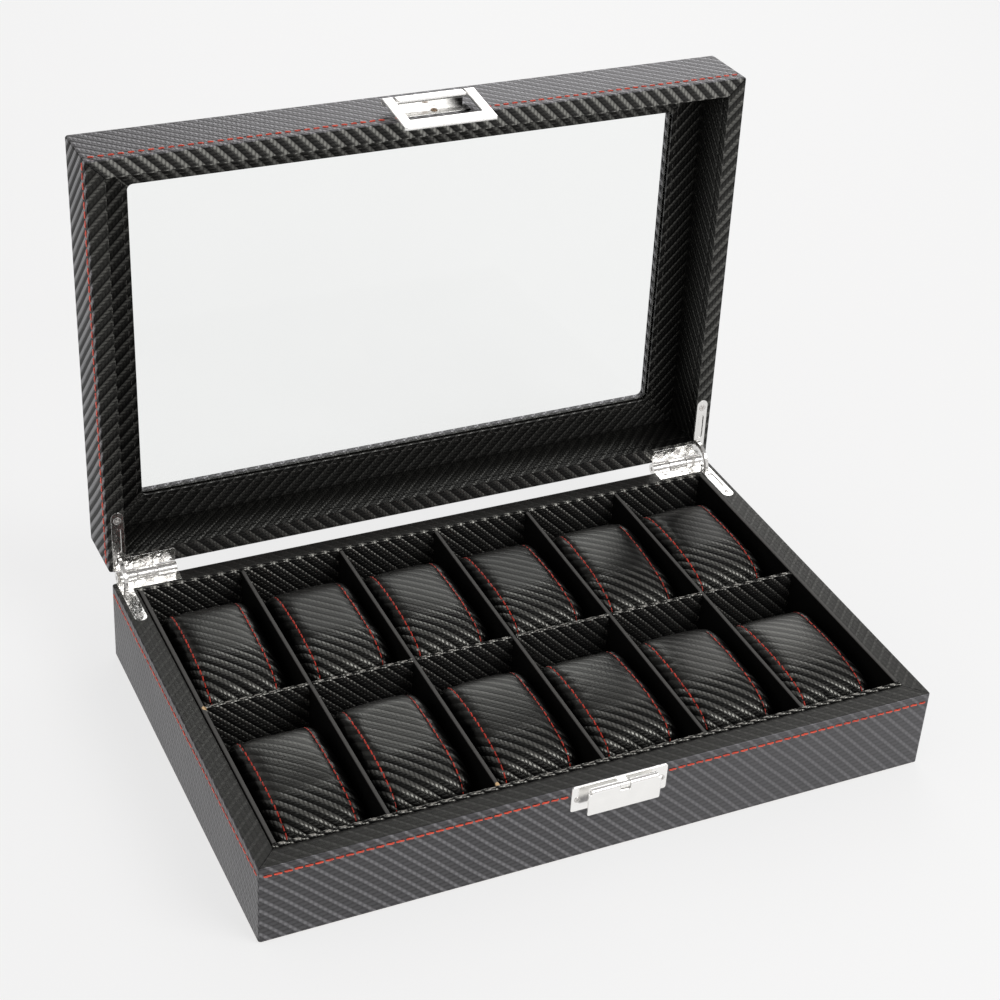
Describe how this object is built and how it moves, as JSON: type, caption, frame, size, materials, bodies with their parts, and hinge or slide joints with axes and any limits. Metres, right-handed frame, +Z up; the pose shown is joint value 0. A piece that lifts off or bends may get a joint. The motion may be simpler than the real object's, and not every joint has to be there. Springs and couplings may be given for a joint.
{
  "type": "watch case with glazed lid",
  "caption": "Shallow leatherette-wrapped watch case with a divided tray, removable stitched pillows, and a glazed lid on corner hinges, shown open, with a bail latch",
  "frame": {"origin": "centre of the underside of the felt pad", "axes": "+X right, +Y towards the hinges at the back, +Z up"},
  "size_m": [0.3006, 0.2382, 0.2405],
  "materials": {
    "leatherette": "black embossed carbon-weave leatherette, satin",
    "pillow_leatherette": "black embossed carbon-weave leatherette, glossier, padded",
    "velvet": "matte black flocked lining",
    "red_thread": "red sewing thread",
    "grey_thread": "grey sewing thread",
    "felt": "black felt",
    "board": "raw fibreboard",
    "chrome": "bright plated steel",
    "steel": "plain steel",
    "glass": "clear float glass"
  },
  "bodies": {
    "base": {"base_bottom_panel": "board", "base_front_wall": "board", "base_back_wall": "board", "base_left_wall": "board", "base_right_wall": "board", "base_cover": "leatherette", "base_stitching": "red_thread", "base_floor_lining": "velvet", "base_felt_pad": "felt", "tray_front_wall": "leatherette", "tray_back_wall": "leatherette", "tray_left_wall": "velvet", "tray_right_wall": "velvet", "tray_stitching": "grey_thread", "long_divider": "leatherette", "cross_divider_1": "velvet", "cross_divider_2": "velvet", "cross_divider_3": "velvet", "cross_divider_4": "velvet", "cross_divider_5": "velvet", "hinge_base_leaf_left": "chrome", "hinge_base_leaf_right": "chrome", "hinge_pin_left": "steel", "hinge_pin_right": "steel", "hinge_base_screws": "steel", "keeper_plate": "chrome", "keeper_screws": "steel", "keeper_pin": "steel"},
    "lid": {"lid_front_wall": "board", "lid_back_wall": "board", "lid_left_wall": "board", "lid_right_wall": "board", "lid_top_frame": "board", "lid_cover": "leatherette", "lid_stitching": "red_thread", "lid_glass": "glass", "lid_window_trim": "leatherette", "hinge_lid_leaf_left": "chrome", "hinge_lid_leaf_right": "chrome", "hinge_lid_screws": "steel", "bail_bracket": "chrome", "bail_bracket_screws": "steel", "bail_pin": "steel"},
    "bail": {"bail": "chrome"},
    "latch_lever": {"latch_lever": "chrome"},
    "quadrant_left": {"quadrant_left": "chrome"},
    "quadrant_right": {"quadrant_right": "chrome"},
    "cushion_01": {"cushion_01": "pillow_leatherette"},
    "cushion_02": {"cushion_02": "pillow_leatherette"},
    "cushion_03": {"cushion_03": "pillow_leatherette"},
    "cushion_04": {"cushion_04": "pillow_leatherette"},
    "cushion_05": {"cushion_05": "pillow_leatherette"},
    "cushion_06": {"cushion_06": "pillow_leatherette"},
    "cushion_07": {"cushion_07": "pillow_leatherette"},
    "cushion_08": {"cushion_08": "pillow_leatherette"},
    "cushion_09": {"cushion_09": "pillow_leatherette"},
    "cushion_10": {"cushion_10": "pillow_leatherette"},
    "cushion_11": {"cushion_11": "pillow_leatherette"},
    "cushion_12": {"cushion_12": "pillow_leatherette"}
  },
  "joints": [
    {"name": "lid_hinge", "type": "hinge", "parent": "base", "child": "lid", "pos_m": [0, 0.0997, 0.03875], "axis": [-1, 0, 0], "range_deg": [-92, 0]},
    {"name": "quadrant_left_slide", "type": "hinge", "parent": "base", "child": "quadrant_left", "pos_m": [0, 0.0997, 0.03875], "axis": [-1, 0, 0], "range_deg": [-46, 0]},
    {"name": "quadrant_right_slide", "type": "hinge", "parent": "base", "child": "quadrant_right", "pos_m": [0, 0.0997, 0.03875], "axis": [-1, 0, 0], "range_deg": [-46, 0]},
    {"name": "bail_swing", "type": "hinge", "parent": "lid", "child": "bail", "pos_m": [0.0015, 0.11914, 0.23859], "axis": [-1, 0, 0], "range_deg": [0, 100]},
    {"name": "lever_flip", "type": "hinge", "parent": "base", "child": "latch_lever", "pos_m": [0.0015, -0.1001, 0.0369], "axis": [-1, 0, 0], "range_deg": [0, 110]},
    {"name": "cushion_01_lift", "type": "slide", "parent": "base", "child": "cushion_01", "axis": [0, 0, 1], "range_m": [0, 0.06]},
    {"name": "cushion_02_lift", "type": "slide", "parent": "base", "child": "cushion_02", "axis": [0, 0, 1], "range_m": [0, 0.06]},
    {"name": "cushion_03_lift", "type": "slide", "parent": "base", "child": "cushion_03", "axis": [0, 0, 1], "range_m": [0, 0.06]},
    {"name": "cushion_04_lift", "type": "slide", "parent": "base", "child": "cushion_04", "axis": [0, 0, 1], "range_m": [0, 0.06]},
    {"name": "cushion_05_lift", "type": "slide", "parent": "base", "child": "cushion_05", "axis": [0, 0, 1], "range_m": [0, 0.06]},
    {"name": "cushion_06_lift", "type": "slide", "parent": "base", "child": "cushion_06", "axis": [0, 0, 1], "range_m": [0, 0.06]},
    {"name": "cushion_07_lift", "type": "slide", "parent": "base", "child": "cushion_07", "axis": [0, 0, 1], "range_m": [0, 0.06]},
    {"name": "cushion_08_lift", "type": "slide", "parent": "base", "child": "cushion_08", "axis": [0, 0, 1], "range_m": [0, 0.06]},
    {"name": "cushion_09_lift", "type": "slide", "parent": "base", "child": "cushion_09", "axis": [0, 0, 1], "range_m": [0, 0.06]},
    {"name": "cushion_10_lift", "type": "slide", "parent": "base", "child": "cushion_10", "axis": [0, 0, 1], "range_m": [0, 0.06]},
    {"name": "cushion_11_lift", "type": "slide", "parent": "base", "child": "cushion_11", "axis": [0, 0, 1], "range_m": [0, 0.06]},
    {"name": "cushion_12_lift", "type": "slide", "parent": "base", "child": "cushion_12", "axis": [0, 0, 1], "range_m": [0, 0.06]}
  ],
  "couplings": [
    {"joint": "quadrant_left_slide", "follows": "lid_hinge", "ratio": 0.5},
    {"joint": "quadrant_right_slide", "follows": "lid_hinge", "ratio": 0.5}
  ]
}
